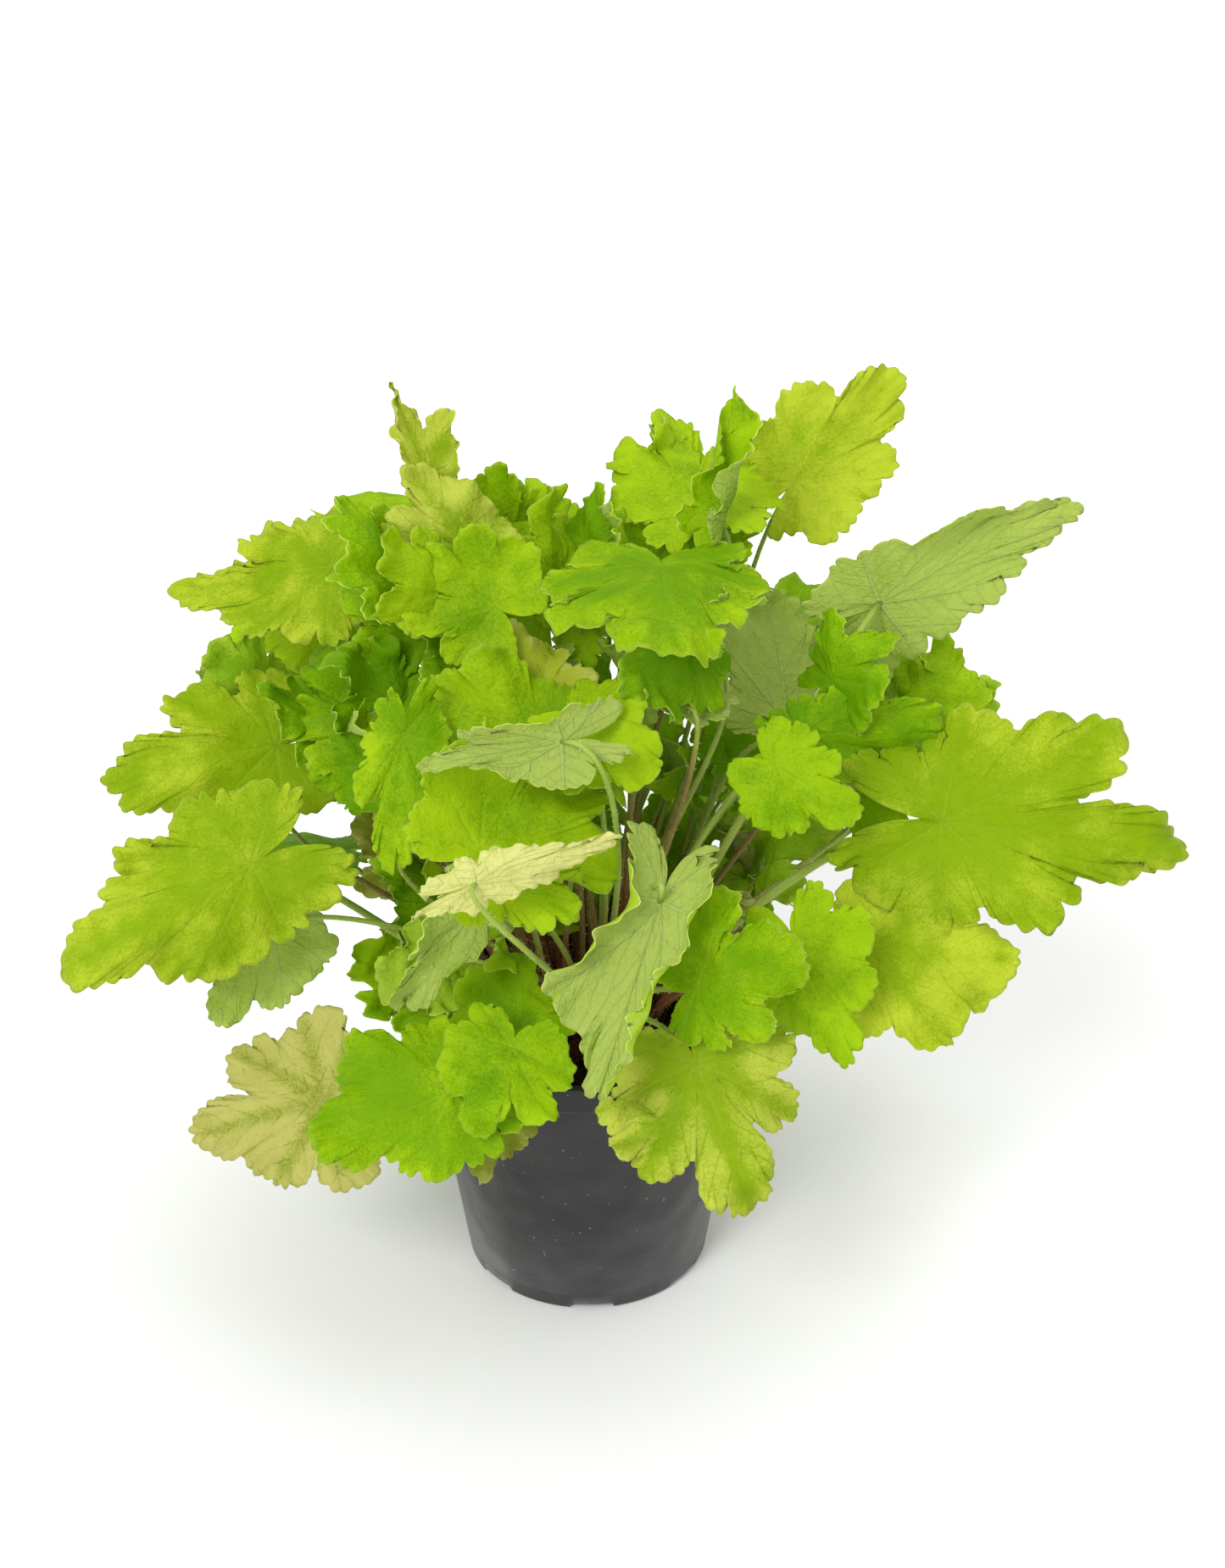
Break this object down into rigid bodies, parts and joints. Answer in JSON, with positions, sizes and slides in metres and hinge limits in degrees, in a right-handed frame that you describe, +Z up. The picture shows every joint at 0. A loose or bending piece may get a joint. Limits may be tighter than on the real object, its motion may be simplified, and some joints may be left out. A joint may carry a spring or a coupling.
{
  "type": "heuchera plant in pot",
  "caption": "Clump of scalloped, ruffled lime-green leaves on slim hairy stalks from a woody crown, growing in a round tapered black nursery pot that stands flat",
  "frame": {"origin": "The middle of the pot's flat underside, on the surface it stands on.", "axes": "+Z up along the pot's axis. -Y is the side of the plant that faces the viewer, +X the viewer's right."},
  "size_m": [0.4039, 0.3072, 0.3536],
  "materials": {
    "pot": "dark charcoal grey injection-moulded plastic, satin",
    "soil": "damp dark peat",
    "crown": "reddish-brown woody rootstock, dull",
    "leaf_lime": "yellow-lime upper side, softly hairy, half matte",
    "leaf_bright": "bright green upper side, softly hairy, half matte",
    "leaf_mid": "mid green upper side, softly hairy, half matte",
    "leaf_yellow": "pale lime upper side with yellow patches, softly hairy, half matte",
    "leaf_pale": "pale grey-green underside shown, softly hairy, half matte",
    "leaf_cream": "creamy yellow-green young leaf, softly hairy, half matte",
    "leaf_olive": "faded olive-green older leaf, softly hairy, half matte"
  },
  "bodies": {
    "root": {"pot": "pot", "soil": "soil", "crown": "crown", "leaf_01": "leaf_lime", "leaf_02": "leaf_bright", "leaf_03": "leaf_mid", "leaf_04": "leaf_pale", "leaf_05": "leaf_pale", "leaf_06": "leaf_pale", "leaf_07": "leaf_bright", "leaf_08": "leaf_mid", "leaf_09": "leaf_mid", "leaf_10": "leaf_lime", "leaf_11": "leaf_lime", "leaf_12": "leaf_mid", "leaf_13": "leaf_bright", "leaf_14": "leaf_yellow", "leaf_15": "leaf_pale", "leaf_16": "leaf_olive", "leaf_17": "leaf_bright", "leaf_18": "leaf_pale", "leaf_19": "leaf_bright", "leaf_20": "leaf_bright", "leaf_21": "leaf_cream", "leaf_22": "leaf_bright", "leaf_23": "leaf_mid", "leaf_24": "leaf_bright", "leaf_25": "leaf_mid", "leaf_26": "leaf_mid", "leaf_27": "leaf_lime", "leaf_28": "leaf_bright", "leaf_29": "leaf_bright", "leaf_30": "leaf_pale", "leaf_31": "leaf_lime", "leaf_32": "leaf_lime", "leaf_33": "leaf_pale", "leaf_34": "leaf_mid", "leaf_35": "leaf_bright", "leaf_36": "leaf_bright", "leaf_37": "leaf_mid", "leaf_38": "leaf_mid", "leaf_39": "leaf_olive", "leaf_40": "leaf_olive", "leaf_41": "leaf_pale", "leaf_42": "leaf_cream", "leaf_43": "leaf_yellow", "leaf_44": "leaf_yellow", "leaf_45": "leaf_bright", "leaf_46": "leaf_mid", "leaf_47": "leaf_bright", "leaf_48": "leaf_lime", "leaf_49": "leaf_bright", "leaf_50": "leaf_lime", "leaf_51": "leaf_bright", "leaf_52": "leaf_lime", "leaf_53": "leaf_mid", "leaf_54": "leaf_bright", "leaf_55": "leaf_lime", "leaf_56": "leaf_bright", "leaf_57": "leaf_mid"}
  },
  "joints": []
}
